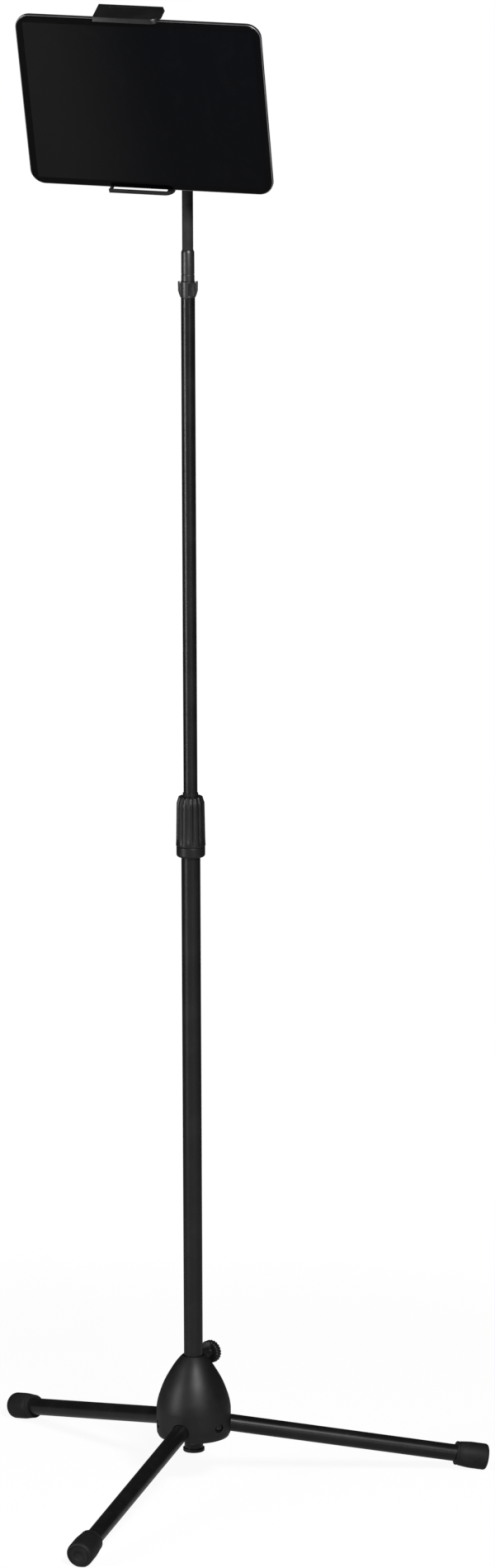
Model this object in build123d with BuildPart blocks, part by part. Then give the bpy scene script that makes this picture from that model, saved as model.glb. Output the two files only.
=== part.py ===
"""Folding tripod floor stand with a flexible neck and a sprung clamp that holds a music tablet.

Millimetres, +Z up. The origin is the point on the floor straight under the column's axis.
The reader stands on the -Y side, and +X is to the reader's right.
"""

import os
from math import cos, radians, sin

from build123d import *

os.makedirs("parts", exist_ok=True)

# ---- column ----------------------------------------------------------------
lower_r = 11.0  # lower tube, outside
lower_wall = 1.0
lower_bottom_z = 43.0
lower_top_z = 806.0
upper_r = 8.0  # upper tube, outside
upper_wall = 1.0
upper_bottom_z = 722.0
upper_top_z = 1395.6
running_gap = 0.05  # radial, between parts that slide or turn on each other
end_cap_r = 12.6
end_cap_bottom_z = 39.0

# ---- twist clutch ----------------------------------------------------------
clutch_bottom_z = 749.3
clutch_ring_top_z = 761.5
clutch_top_z = 820.0
clutch_ring_r = 16.6
grip_foot_r = 17.1
grip_head_r = 16.3
sleeve_r = 13.5
sleeve_top_z = 800.0
collet_lip_r = 8.9
collet_top_z = 824.0

# ---- tripod ----------------------------------------------------------------
leg_azimuths = (-111.5, 8.5, 128.5)  # front, right, rear, from +X
pivot_rho = 25.0  # the pins' distance from the axis
pivot_z = 74.4
leg_drop = 10.6  # degrees below level, opened out
leg_r = 10.0
leg_wall = 1.2
leg_start = 12.0  # along the leg, from its pin
leg_end = 324.0
foot_start = 291.0
foot_end = 329.0
foot_neck_r = 14.0
foot_r = 15.5
foot_flare = 18.0  # over which the foot swells
pin_r = 3.0
slot_half = 10.6

# ---- hub -------------------------------------------------------------------
hub_bottom_z = 57.0
hub_top_z = 155.0
hub_r = 43.5
hub_shoulder_z = 92.0
hub_mouth_r = 13.4
hub_core_r = 14.2
hub_wall = 3.2
cheek = 4.0
boss_r = 7.4
head_bore_r = 5.1
head_seat = 26.0  # pin's head seat, from the leg's middle plane
cut_reach = 60.0  # cuts and far ends that run out past the hub

# ---- hub clamp -------------------------------------------------------------
clamp_azimuth = 55.0
clamp_z = 150.8
clamp_boss_r = 6.6
clamp_boss_rho = 26.0
knob_r = 13.4
knob_start = 27.0
knob_end = 38.5
screw_r = 3.0

# ---- neck ------------------------------------------------------------------
nut_bottom_z = 1395.8
nut_top_z = 1414.3
nut_r = 8.35
grub_azimuth = -60.0
stud_r = 5.0
stud_top_z = 1432.0
ferrule_bottom_z = 1414.6
ferrule_top_z = 1447.8
ferrule_r = 7.45
neck_r = 6.3
neck_start_z = 1434.0
neck_pivot_z = 1600.0
neck_turn_z = 1632.0  # where the straight run's axis meets the next run's
neck_lead = 36.0  # from the end ferrule back to the second turn
neck_bends = (37.0, 36.0)

# ---- head: the tablet's centre, and the directions of its width and its face ----
head_x = -46.0
head_y = -99.0
head_z = 1625.0
head_yaw = -14.5
head_tilt = -23.7  # forward of upright
head_roll = -1.7

tablet_w = 280.6
tablet_h = 214.9
tablet_t = 6.4
tablet_corner = 17.0
display_w = 262.9
display_h = 197.0
glass_t = 0.9

grip_w = -17.0  # the clamp's middle, across the tablet
jaw_left = grip_w - 31.8
jaw_right = grip_w + 41.9
jaw_back = -22.3
jaw_front = 7.6
jaw_corner = 10.0
jaw_outer = 111.9  # height of the jaw's outside above the tablet's middle
jaw_plate = 2.9
jaw_lip_end = 106.7
jaw_flare = 1.75
jaw_rim = 2.4
pad_gap = 0.15  # between the tablet and the pads that hold it
pad_back = -9.0
pad_front = 4.0
recess_back = -18.7  # shallow channel along the top of the upper jaw
recess_front = -14.2
recess_depth = 1.2
window_back = -5.5  # slot through the lower jaw
window_front = 5.6

shell_half_w = 33.0
shell_half_h = 62.0
shell_wall = 2.5
shell_back = -18.5
shell_front = -6.5
cover_front = -4.7
strap_half = 10.0  # half width of the upper jaw's strap
lower_strap_half = 16.0
strap_back = -15.2
strap_front = -12.2
rod_r = 2.0
rod_offset = 20.0
rod_depth = -11.3
block_half = 26.0
block_low = -30.0
block_high = -14.0

ball_depth = -30.0
ball_r = 8.5
seat_r = 11.0
socket_r = 14.5
socket_depth = 10.8
ring_nut_r = 17.6
ring_nut_back = -36.5
ring_nut_front = -20.5
ball_stem_r = 4.0
end_ferrule_front = -44.0
end_ferrule_back = -62.0
end_ferrule_r = 7.5


def save(piece, name):
    """Label a finished part and write it as its own STEP file."""
    piece.part.label = name
    export_step(piece.part, f"parts/{name}.step")


def tube(outer, inner, low, high):
    """A straight tube on the column's axis, added to the part being built."""
    with BuildSketch(Plane.XY.offset(low)) as ring:
        Circle(outer)
        Circle(inner, mode=Mode.SUBTRACT)
    extrude(ring.sketch, amount=high - low)


# =============================== column =====================================
with BuildPart() as lower_tube:
    tube(lower_r, lower_r - lower_wall, lower_bottom_z, lower_top_z)
save(lower_tube, "lower_tube")

with BuildPart() as tube_end_cap:
    with BuildSketch(Plane.XY.offset(end_cap_bottom_z)):
        Circle(end_cap_r)
    extrude(amount=lower_bottom_z - end_cap_bottom_z)
    fillet(tube_end_cap.edges().filter_by(GeomType.CIRCLE).sort_by(Axis.Z)[0], 1.0)
    with BuildSketch(Plane.XY.offset(lower_bottom_z)):
        Circle(lower_r - lower_wall)
    extrude(amount=16)
    with BuildSketch(Plane.XY.offset(lower_bottom_z + 2)):
        Circle(lower_r - lower_wall - 2)
    extrude(amount=20, mode=Mode.SUBTRACT)
save(tube_end_cap, "tube_end_cap")

with BuildPart() as upper_tube:
    tube(upper_r, upper_r - upper_wall, upper_bottom_z, upper_top_z)
save(upper_tube, "upper_tube")

with BuildPart() as guide_bush:
    tube(lower_r - lower_wall - running_gap, upper_r, upper_bottom_z, upper_bottom_z + 26)
    tube(lower_r - lower_wall - running_gap, upper_r - upper_wall - 1, upper_bottom_z - 4, upper_bottom_z)
save(guide_bush, "guide_bush")

# =============================== twist clutch ===============================
with BuildPart() as clutch_ring:
    tube(clutch_ring_r, lower_r, clutch_bottom_z, clutch_ring_top_z)
    rims = clutch_ring.edges().filter_by(GeomType.CIRCLE).sort_by(SortBy.RADIUS)[-2:]
    fillet(rims.sort_by(Axis.Z)[0], 3.0)
    fillet(rims.sort_by(Axis.Z)[-1], 0.8)
save(clutch_ring, "clutch_ring")

with BuildPart() as clutch_sleeve:
    tube(sleeve_r, lower_r, clutch_ring_top_z, sleeve_top_z)
save(clutch_sleeve, "clutch_sleeve")

with BuildPart() as clutch_collet:
    with BuildSketch(Plane.XZ):
        with BuildLine():
            Polyline(
                (upper_r + running_gap, lower_top_z),
                (12.4, lower_top_z),
                (12.4, lower_top_z + 4),
                (collet_lip_r, clutch_top_z - 4.4),
                (collet_lip_r, collet_top_z),
                (upper_r + running_gap, collet_top_z),
                close=True,
            )
        make_face()
    revolve(axis=Axis.Z)
    with BuildSketch(Plane.XY.offset(lower_top_z + 3)):
        with PolarLocations(upper_r + 3, 3):
            Rectangle(8, 1.2)
    extrude(amount=collet_top_z - lower_top_z, mode=Mode.SUBTRACT)
save(clutch_collet, "clutch_collet")

with BuildPart() as clutch_grip:
    with BuildSketch(Plane.XZ):
        with BuildLine():
            Polyline(
                (sleeve_r + running_gap, clutch_ring_top_z + 0.3),
                (grip_foot_r, clutch_ring_top_z + 0.3),
                (grip_head_r, clutch_top_z - 8),
                (grip_head_r - 2.6, clutch_top_z),
                (collet_lip_r + 0.3, clutch_top_z),
                (collet_lip_r + 0.3, clutch_top_z - 3),
                (12.9, lower_top_z + 5.2),
                (12.9, lower_top_z - 3),
                (sleeve_r + running_gap, sleeve_top_z + 1),
                close=True,
            )
        make_face()
    revolve(axis=Axis.Z)
save(clutch_grip, "clutch_grip")

# =============================== hub ========================================
side_points = [(36.5, hub_bottom_z), (41.2, 59.0), (43.1, 63.0), (hub_r, 72.0), (hub_r, hub_shoulder_z)]
crown_points = [
    (hub_r, hub_shoulder_z),
    (42.2, 100.7),
    (38.6, 112.8),
    (33.7, 124.8),
    (27.0, 136.8),
    (21.1, 145.9),
    (hub_mouth_r, hub_top_z),
]


def hub_section(inset, low):
    """Half section of the hub, from the axis to a wall drawn in by inset, down to low."""
    side = [(r - inset, z) for r, z in side_points]
    side = [(side[0][0], low)] + side[1:] if inset == 0 else [(side[-1][0], low), side[-1]]
    crown = [(r - inset, z - inset) for r, z in crown_points]
    crown[0] = side[-1]
    with BuildLine() as outline:
        Polyline((0, low), *side)
        Spline(*crown)
        Polyline(crown[-1], (0, crown[-1][1]), (0, low))
    make_face(outline.edges())


def leg_plane(azimuth):
    """Plane whose X runs along a leg from its pin, Y is level across it and Z is square to both."""
    a = radians(azimuth)
    d = radians(leg_drop)
    along = (cos(a) * cos(d), sin(a) * cos(d), -sin(d))
    square = (cos(a) * sin(d), sin(a) * sin(d), cos(d))
    pin = (pivot_rho * cos(a), pivot_rho * sin(a), pivot_z)
    return Plane(origin=pin, x_dir=along, z_dir=square)


def level_plane(azimuth, height):
    """Level plane whose X points outwards at an azimuth."""
    a = radians(azimuth)
    return Plane(origin=(0, 0, height), x_dir=(cos(a), sin(a), 0), z_dir=(0, 0, 1))


def pin_plane(azimuth, across):
    """Plane square to a leg's pin, its middle on the pin's axis, across mm along that axis."""
    a = radians(azimuth)
    side = (-sin(a), cos(a), 0)
    pin = (pivot_rho * cos(a) + across * side[0], pivot_rho * sin(a) + across * side[1], pivot_z)
    return Plane(origin=pin, x_dir=(cos(a), sin(a), 0), z_dir=side)


def along_leg(azimuth, start):
    """Plane square to a leg, start mm out from its pin."""
    leg = leg_plane(azimuth)
    return Plane(origin=leg.from_local_coords((start, 0, 0)), x_dir=leg.y_dir, z_dir=leg.x_dir)


def radial_plane(azimuth, height, rho):
    """Upright plane facing outwards at an azimuth, rho from the axis."""
    a = radians(azimuth)
    out = (cos(a), sin(a), 0)
    return Plane(origin=(rho * out[0], rho * out[1], height), x_dir=(-sin(a), cos(a), 0), z_dir=out)


def disc(plane, radius, length):
    """A cylinder on a plane, added to the part being built."""
    with BuildSketch(plane) as round_face:
        Circle(radius)
    extrude(round_face.sketch, amount=length)


with BuildPart() as hub_cavity:
    with BuildSketch(Plane.XZ):
        hub_section(hub_wall, hub_bottom_z - 4)
    revolve(axis=Axis.Z)
    with BuildSketch(Plane.XY.offset(hub_bottom_z - 4)):
        Circle(hub_core_r)
    extrude(amount=120, mode=Mode.SUBTRACT)
    for azimuth in leg_azimuths:
        with BuildSketch(level_plane(azimuth, hub_bottom_z - 4)):
            with Locations((40, 0)):
                Rectangle(80, 2 * (slot_half + cheek))
        extrude(amount=120, mode=Mode.SUBTRACT)
        with BuildSketch(pin_plane(azimuth, -60)):
            Circle(boss_r)
        extrude(amount=cut_reach, mode=Mode.SUBTRACT)
    with BuildSketch(radial_plane(clamp_azimuth, clamp_z, 0)):
        Circle(clamp_boss_r)
    extrude(amount=cut_reach, mode=Mode.SUBTRACT)

with BuildPart() as hub_shell:
    with BuildSketch(Plane.XZ):
        hub_section(0, hub_bottom_z)
    revolve(axis=Axis.Z)
    with BuildSketch(radial_plane(clamp_azimuth, clamp_z, 12)):
        Circle(clamp_boss_r)
    extrude(amount=clamp_boss_rho - 12)
    add(hub_cavity.part, mode=Mode.SUBTRACT)
    with BuildSketch(Plane.XY.offset(hub_bottom_z - 1)):
        Circle(lower_r + 1.2)
    extrude(amount=hub_top_z - hub_bottom_z + 6, mode=Mode.SUBTRACT)
    for azimuth in leg_azimuths:
        with BuildSketch(along_leg(azimuth, 0)):
            Circle(slot_half)
        extrude(amount=cut_reach, mode=Mode.SUBTRACT)
        with BuildSketch(level_plane(azimuth, hub_bottom_z - 1)):
            with Locations(((hub_core_r + 0.7 + 60) / 2, 0)):
                Rectangle(60 - hub_core_r - 0.7, 2 * slot_half)
        extrude(amount=pivot_z - hub_bottom_z - 1.5, mode=Mode.SUBTRACT)
        with BuildSketch(pin_plane(azimuth, -slot_half)):
            Circle(leg_r + 0.3)
        extrude(amount=2 * slot_half, mode=Mode.SUBTRACT)
        with BuildSketch(pin_plane(azimuth, -head_seat)):
            Circle(head_bore_r)
        extrude(amount=-30, mode=Mode.SUBTRACT)
        with BuildSketch(pin_plane(azimuth, -head_seat - 1)):
            Circle(pin_r)
        extrude(amount=cut_reach, mode=Mode.SUBTRACT)
    with BuildSketch(radial_plane(clamp_azimuth, clamp_z, 0)):
        Circle(4.2)
    extrude(amount=cut_reach, mode=Mode.SUBTRACT)
save(hub_shell, "hub_shell")

with BuildPart() as hub_liner:
    tube(lower_r + 1.2, lower_r + running_gap, hub_bottom_z + 3, clamp_z - 6)
save(hub_liner, "hub_liner")

with BuildPart() as clamp_insert:
    disc(radial_plane(clamp_azimuth, clamp_z, 16.5), 4.2, 9)
    with BuildSketch(radial_plane(clamp_azimuth, clamp_z, 16)):
        Circle(screw_r + running_gap)
    extrude(amount=20, mode=Mode.SUBTRACT)
save(clamp_insert, "clamp_insert")

with BuildPart() as clamp_pad:
    disc(radial_plane(clamp_azimuth, clamp_z, lower_r + 0.4), 4.0, 2.4)
save(clamp_pad, "clamp_pad")

with BuildPart() as pivot_screws:
    for azimuth in leg_azimuths:
        disc(pin_plane(azimuth, -head_seat - 3.2), 4.6, 3.2)
        disc(pin_plane(azimuth, -head_seat), pin_r, head_seat + slot_half + cheek + 6.5)
        with BuildSketch(pin_plane(azimuth, -head_seat - 3.2)):
            RegularPolygon(2.0, 6)
        extrude(amount=1.8, mode=Mode.SUBTRACT)
save(pivot_screws, "pivot_screws")

with BuildPart() as pivot_nuts:
    for azimuth in leg_azimuths:
        with BuildSketch(pin_plane(azimuth, slot_half + cheek)):
            RegularPolygon(5.0, 6, major_radius=False)
            Circle(pin_r, mode=Mode.SUBTRACT)
        extrude(amount=5)
save(pivot_nuts, "pivot_nuts")

with BuildPart() as clamp_knob:
    with BuildSketch(radial_plane(clamp_azimuth, clamp_z, knob_start + 3)):
        Circle(knob_r)
    extrude(amount=knob_end - knob_start - 3)
    chamfer(clamp_knob.edges().filter_by(GeomType.CIRCLE), 1.2)
    disc(radial_plane(clamp_azimuth, clamp_z, knob_start), 6.0, 3)
    with BuildSketch(radial_plane(clamp_azimuth, clamp_z, knob_start)):
        Circle(screw_r)
    extrude(amount=7, mode=Mode.SUBTRACT)
save(clamp_knob, "clamp_knob")

with BuildPart() as clamp_screw:
    disc(radial_plane(clamp_azimuth, clamp_z, lower_r + 3.2), screw_r, knob_start + 7 - lower_r - 3.2)
save(clamp_screw, "clamp_screw")

# =============================== legs =======================================
leg_names = ("front", "right", "left")

for leg_name, azimuth in zip(leg_names, leg_azimuths):
    with BuildPart() as leg_tube:
        with BuildSketch(along_leg(azimuth, leg_start)):
            Circle(leg_r)
            Circle(leg_r - leg_wall, mode=Mode.SUBTRACT)
        extrude(amount=leg_end - leg_start)
    save(leg_tube, f"leg_tube_{leg_name}")

    with BuildPart() as leg_hinge:
        disc(pin_plane(azimuth, -slot_half + 0.4), leg_r - 0.4, 2 * (slot_half - 0.4))
        disc(along_leg(azimuth, 4), leg_r - 0.4, leg_start - 4)
        disc(along_leg(azimuth, leg_start), leg_r - leg_wall, 30)
        with BuildSketch(pin_plane(azimuth, -slot_half)):
            Circle(pin_r + running_gap)
        extrude(amount=2 * slot_half, mode=Mode.SUBTRACT)
    save(leg_hinge, f"leg_hinge_{leg_name}")

    with BuildPart() as foot:
        with BuildSketch(along_leg(azimuth, foot_start)):
            Circle(foot_neck_r)
        with BuildSketch(along_leg(azimuth, foot_start + foot_flare)):
            Circle(foot_r)
        loft()
        disc(along_leg(azimuth, foot_start + foot_flare), foot_r, foot_end - foot_start - foot_flare)
        fillet(foot.faces().filter_by(GeomType.PLANE).sort_by(Axis.Z)[0].edges(), 3.5)
        fillet(foot.faces().filter_by(GeomType.PLANE).sort_by(Axis.Z)[-1].edges(), 1.2)
        with BuildSketch(along_leg(azimuth, foot_start - 1)):
            Circle(leg_r)
        extrude(amount=leg_end - foot_start + 1, mode=Mode.SUBTRACT)
        with BuildSketch(level_plane(azimuth, -8)):
            with Locations((pivot_rho + foot_end, 0)):
                Rectangle(160, 80)
        extrude(amount=8, mode=Mode.SUBTRACT)
    save(foot, f"foot_{leg_name}")

# =============================== wing nut and neck base =====================
with BuildPart() as tube_stud:
    disc(Plane.XY.offset(upper_top_z - 24), upper_r - upper_wall, 24)
    disc(Plane.XY.offset(upper_top_z), stud_r, stud_top_z - upper_top_z)
    with BuildSketch(Plane.XY.offset(upper_top_z - 25)):
        Circle(3.2)
    extrude(amount=20, mode=Mode.SUBTRACT)
save(tube_stud, "tube_stud")

with BuildPart() as wing_nut:
    disc(Plane.XY.offset(nut_bottom_z), nut_r, nut_top_z - nut_bottom_z)
    chamfer(wing_nut.edges().filter_by(GeomType.CIRCLE), 0.4)
    for hand in (1, -1):
        with BuildSketch(Plane.XZ.offset(-1.9)):
            with BuildLine():
                Polyline(
                    (hand * (nut_r - 1.2), nut_bottom_z + 0.6),
                    (hand * (nut_r + 0.4), nut_bottom_z + 0.6),
                    (hand * (nut_r + 2.9), nut_bottom_z + 8),
                    (hand * (nut_r + 3.1), nut_top_z),
                    (hand * (nut_r + 0.6), nut_top_z),
                    (hand * (nut_r - 1.2), nut_bottom_z + 7),
                    close=True,
                )
            make_face()
        extrude(amount=3.8)
    with BuildSketch(Plane.XY.offset(nut_bottom_z - 1)):
        Circle(stud_r + running_gap)
    extrude(amount=30, mode=Mode.SUBTRACT)
    with BuildSketch(radial_plane(grub_azimuth, (nut_bottom_z + nut_top_z) / 2 + 0.3, nut_r + 1)):
        RectangleRounded(8.0, 15.0, 1.2)
    extrude(amount=-2.4, mode=Mode.SUBTRACT)
    with BuildSketch(radial_plane(grub_azimuth, nut_top_z - 5.6, nut_r + 1)):
        Circle(1.5)
    extrude(amount=-6, mode=Mode.SUBTRACT)
save(wing_nut, "wing_nut")

with BuildPart() as grub_screw:
    disc(radial_plane(grub_azimuth, nut_top_z - 5.6, stud_r + running_gap + 0.1), 1.5, 1.6)
save(grub_screw, "grub_screw")

with BuildPart() as neck_base_ferrule:
    with BuildSketch(Plane.XZ):
        with BuildLine():
            Polyline(
                (stud_r + running_gap, ferrule_bottom_z),
                (ferrule_r + 0.15, ferrule_bottom_z),
                (ferrule_r, ferrule_top_z),
                (neck_r, ferrule_top_z + 2.6),
                (neck_r, neck_start_z),
                (stud_r + running_gap, neck_start_z),
                close=True,
            )
        make_face()
    revolve(axis=Axis.Z)
save(neck_base_ferrule, "neck_base_ferrule")

with BuildPart() as neck_lower:
    disc(Plane.XY.offset(neck_start_z), neck_r, neck_pivot_z - neck_r - 0.4 - neck_start_z)
save(neck_lower, "neck_lower")

# =============================== head =======================================
yaw = radians(head_yaw)
tilt = radians(head_tilt)
facing = Vector(sin(yaw) * cos(tilt), -cos(yaw) * cos(tilt), sin(tilt))
level_width = Vector(cos(yaw), sin(yaw), 0)
roll = radians(head_roll)
width_dir = level_width * cos(roll) + facing.cross(level_width) * sin(roll)
head = Plane(origin=(head_x, head_y, head_z), x_dir=width_dir, z_dir=facing)


def at(w, h, n):
    """World position of a point given across, up and out of the tablet's face."""
    return head.from_local_coords((w, h, n))


def face_plane(n, w=0.0, h=0.0):
    """Plane parallel to the tablet's face, X across and Y up."""
    return Plane(origin=at(w, h, n), x_dir=head.x_dir, z_dir=head.z_dir)


def shelf_plane(h):
    """Plane across the tablet's face at height h, X across, Y out of the face and Z down the tablet."""
    return Plane(origin=at(0, h, 0), x_dir=head.x_dir, z_dir=-head.y_dir)


def rod_plane(h, w, n):
    """Plane across the head's upright rods, Z up the tablet."""
    return Plane(origin=at(w, h, n), x_dir=head.x_dir, z_dir=head.y_dir)


def face_block(w_low, w_high, h_low, h_high, n_low, n_high, mode=Mode.ADD):
    """A block in the head's own directions, added to or cut from the part being built."""
    with BuildSketch(face_plane(n_low, (w_low + w_high) / 2, (h_low + h_high) / 2)) as base:
        Rectangle(w_high - w_low, h_high - h_low)
    extrude(base.sketch, amount=n_high - n_low, mode=mode)


with BuildPart() as neck_upper:
    run_end = at(grip_w, 0, end_ferrule_back + 10)
    run_start = at(grip_w, 0, end_ferrule_back - neck_lead)
    with BuildLine() as neck_path:
        FilletPolyline((0, 0, neck_pivot_z), (0, 0, neck_turn_z), run_start, run_end, radius=neck_bends)
    with BuildSketch(Plane.XY.offset(neck_pivot_z)):
        Circle(neck_r)
    sweep(path=neck_path.line)
    with Locations((0, 0, neck_pivot_z)):
        Sphere(neck_r)
save(neck_upper, "neck_upper")

with BuildPart() as neck_end_ferrule:
    disc(face_plane(end_ferrule_back, grip_w), end_ferrule_r, end_ferrule_front - end_ferrule_back)
    with BuildSketch(face_plane(end_ferrule_back, grip_w)):
        Circle(neck_r)
    extrude(amount=10, mode=Mode.SUBTRACT)
    with BuildSketch(face_plane(end_ferrule_front, grip_w)):
        Circle(ball_stem_r)
    extrude(amount=-5, mode=Mode.SUBTRACT)
save(neck_end_ferrule, "neck_end_ferrule")

with BuildPart() as ball_stud:
    with Locations(face_plane(ball_depth, grip_w)):
        Sphere(ball_r)
    disc(face_plane(end_ferrule_front - 5, grip_w), ball_stem_r, ball_depth - end_ferrule_front + 5)
save(ball_stud, "ball_stud")

with BuildPart() as ball_seat:
    disc(face_plane(ball_depth - 3.5, grip_w), seat_r, 13.2)
    with Locations(face_plane(ball_depth, grip_w)):
        Sphere(ball_r + running_gap, mode=Mode.SUBTRACT)
save(ball_seat, "ball_seat")

with BuildPart() as clamp_shell:
    with BuildSketch(face_plane(shell_back, grip_w)):
        RectangleRounded(2 * shell_half_w, 2 * shell_half_h, 9)
    extrude(amount=shell_front - shell_back)
    chamfer(clamp_shell.faces().sort_by(Axis((0, 0, 0), tuple(facing)))[0].edges(), 2.0)
    with BuildSketch(face_plane(shell_back + shell_wall, grip_w)):
        RectangleRounded(2 * (shell_half_w - shell_wall), 2 * (shell_half_h - shell_wall), 6.5)
    extrude(amount=20, mode=Mode.SUBTRACT)
    disc(face_plane(ball_depth, grip_w), socket_r, shell_back + 1 - ball_depth)
    with BuildSketch(face_plane(ball_depth - 1, grip_w)):
        Circle(seat_r + running_gap)
    extrude(amount=socket_depth, mode=Mode.SUBTRACT)
    slot = strap_half + 0.6
    face_block(grip_w - slot, grip_w + slot, 0, 80, strap_back - 0.3, strap_front + 0.3, Mode.SUBTRACT)
    slot = lower_strap_half
    face_block(grip_w - slot, grip_w + slot, -80, 0, strap_back, strap_front, Mode.SUBTRACT)
    for hand in (1, -1):
        with BuildSketch(rod_plane(-shell_half_h + 1, grip_w + hand * rod_offset, rod_depth)):
            Circle(rod_r)
        extrude(amount=2 * (shell_half_h - 1), mode=Mode.SUBTRACT)
save(clamp_shell, "clamp_shell")

with BuildPart() as clamp_cover:
    with BuildSketch(face_plane(shell_front, grip_w)):
        RectangleRounded(2 * shell_half_w, 2 * shell_half_h, 9)
        with GridLocations(2 * shell_half_w - 14, 2 * shell_half_h - 14, 2, 2):
            Circle(1.5, mode=Mode.SUBTRACT)
    extrude(amount=cover_front - shell_front)
save(clamp_cover, "clamp_cover")

with BuildPart() as cover_screws:
    with BuildSketch(face_plane(shell_front, grip_w)):
        with GridLocations(2 * shell_half_w - 14, 2 * shell_half_h - 14, 2, 2):
            Circle(1.5)
    extrude(amount=cover_front - shell_front)
save(cover_screws, "cover_screws")

with BuildPart() as back_pads:
    with BuildSketch(face_plane(cover_front, grip_w)):
        with GridLocations(0, 2 * shell_half_h - 44, 1, 2):
            RectangleRounded(2 * shell_half_w - 10, 16, 3)
    extrude(amount=-cover_front - tablet_t / 2 - pad_gap)
save(back_pads, "back_pads")

with BuildPart() as guide_rods:
    for hand in (1, -1):
        rod = rod_plane(-shell_half_h + 1, grip_w + hand * rod_offset, rod_depth)
        disc(rod, rod_r, 2 * (shell_half_h - 1))
save(guide_rods, "guide_rods")

with BuildPart() as jaw_springs:
    for hand in (1, -1):
        with BuildSketch(rod_plane(block_high, grip_w + hand * rod_offset, rod_depth)):
            Circle(3.6)
            Circle(2.5, mode=Mode.SUBTRACT)
        extrude(amount=shell_half_h - shell_wall - block_high)
save(jaw_springs, "jaw_springs")

with BuildPart() as ring_nut:
    disc(face_plane(ring_nut_back, grip_w), ring_nut_r, ring_nut_front - ring_nut_back)
    chamfer(ring_nut.edges().filter_by(GeomType.CIRCLE), 1.0)
    with BuildSketch(face_plane(ring_nut_back + 2, grip_w)):
        Circle(socket_r + running_gap)
    extrude(amount=30, mode=Mode.SUBTRACT)
    with BuildSketch(face_plane(ring_nut_back - 1, grip_w)):
        Circle(9.5)
    extrude(amount=4, mode=Mode.SUBTRACT)
save(ring_nut, "ring_nut")


def jaw_outline(grow, rim=0.0):
    """Plan of a jaw: square at its left end, with a large round at its right front corner."""
    left = jaw_left - (1 if rim else 0)
    back = jaw_back - (1 if rim else 0)
    right = jaw_right + grow - rim
    front = jaw_front + grow - rim
    bend = jaw_corner - rim
    with BuildLine() as outline:
        Polyline((right, front - bend), (right, back), (left, back), (left, front), (right - bend, front))
        RadiusArc((right - bend, front), (right, front - bend), bend)
    make_face(outline.edges())


def jaw_hook(side):
    """Flat shelf with a flared lip along its front, at the top (side 1) or bottom (-1)."""
    with BuildSketch(shelf_plane(side * jaw_outer)) as outside:
        jaw_outline(0)
    with BuildSketch(shelf_plane(side * jaw_lip_end)) as lip:
        jaw_outline(jaw_flare)
    loft([outside.sketch, lip.sketch])
    with BuildSketch(shelf_plane(side * (jaw_outer - jaw_plate))) as inside:
        jaw_outline(0.9, jaw_rim)
    with BuildSketch(shelf_plane(side * (jaw_lip_end - 1))) as mouth:
        jaw_outline(jaw_flare + 0.3, jaw_rim)
    loft([inside.sketch, mouth.sketch], mode=Mode.SUBTRACT)
    low, high = sorted((side * (jaw_lip_end - 1), side * (tablet_h / 2 + 0.4)))
    face_block(jaw_right - 6, jaw_right + 5, low, high, -tablet_t / 2 - 0.4, tablet_t / 2 + 1, Mode.SUBTRACT)


with BuildPart() as upper_jaw:
    jaw_hook(1)
    floor_h = jaw_outer - recess_depth
    left = jaw_left + 12.7
    face_block(left, left + 42, floor_h, jaw_outer + 1, recess_back, recess_front, Mode.SUBTRACT)
    face_block(grip_w - strap_half, grip_w + strap_half, block_low, floor_h - 0.2, strap_back, strap_front)
    face_block(grip_w - block_half, grip_w + block_half, block_low, block_high, strap_back, shell_front - 0.6)
    for hand in (1, -1):
        with BuildSketch(rod_plane(block_low - 1, grip_w + hand * rod_offset, rod_depth)):
            Circle(rod_r + running_gap)
        extrude(amount=block_high - block_low + 2, mode=Mode.SUBTRACT)
save(upper_jaw, "upper_jaw")

with BuildPart() as lower_jaw:
    jaw_hook(-1)
    low = -jaw_outer - 1
    high = low + jaw_plate + 2
    face_block(jaw_left + 2.4, jaw_left + 66, low, high, window_back, window_front, Mode.SUBTRACT)
    low = -jaw_outer + 1.4
    face_block(grip_w - lower_strap_half, grip_w + lower_strap_half, low, -40, strap_back, strap_front)
save(lower_jaw, "lower_jaw")

pad_height = jaw_outer - jaw_plate - tablet_h / 2 - pad_gap
with BuildPart() as upper_jaw_pad:
    high = jaw_outer - jaw_plate
    face_block(jaw_left + 3, jaw_right - 12, high - pad_height, high, pad_back, pad_front)
save(upper_jaw_pad, "upper_jaw_pad")

with BuildPart() as lower_jaw_pads:
    low = -jaw_outer + jaw_plate
    face_block(jaw_left, jaw_left + 2.2, low, low + pad_height, pad_back, pad_front)
    face_block(jaw_right - 7.5, jaw_right - 2, low, low + pad_height, pad_back, pad_front - 3.6)
save(lower_jaw_pads, "lower_jaw_pads")

# =============================== tablet =====================================
glass_back = tablet_t / 2 - glass_t
with BuildPart() as tablet_case:
    with BuildSketch(face_plane(-tablet_t / 2)):
        RectangleRounded(tablet_w, tablet_h, tablet_corner)
    extrude(amount=glass_back + tablet_t / 2)
    fillet(tablet_case.faces().sort_by(Axis((0, 0, 0), tuple(facing)))[0].edges(), 1.6)
    with BuildSketch(face_plane(-tablet_t / 2 + 1)):
        RectangleRounded(tablet_w - 5, tablet_h - 5, tablet_corner - 2.5)
    extrude(amount=10, mode=Mode.SUBTRACT)
save(tablet_case, "tablet_case")

with BuildPart() as tablet_internals:
    with BuildSketch(face_plane(-tablet_t / 2 + 1)):
        RectangleRounded(tablet_w - 12, tablet_h - 12, 10)
    extrude(amount=2.9)
save(tablet_internals, "tablet_internals")

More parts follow.
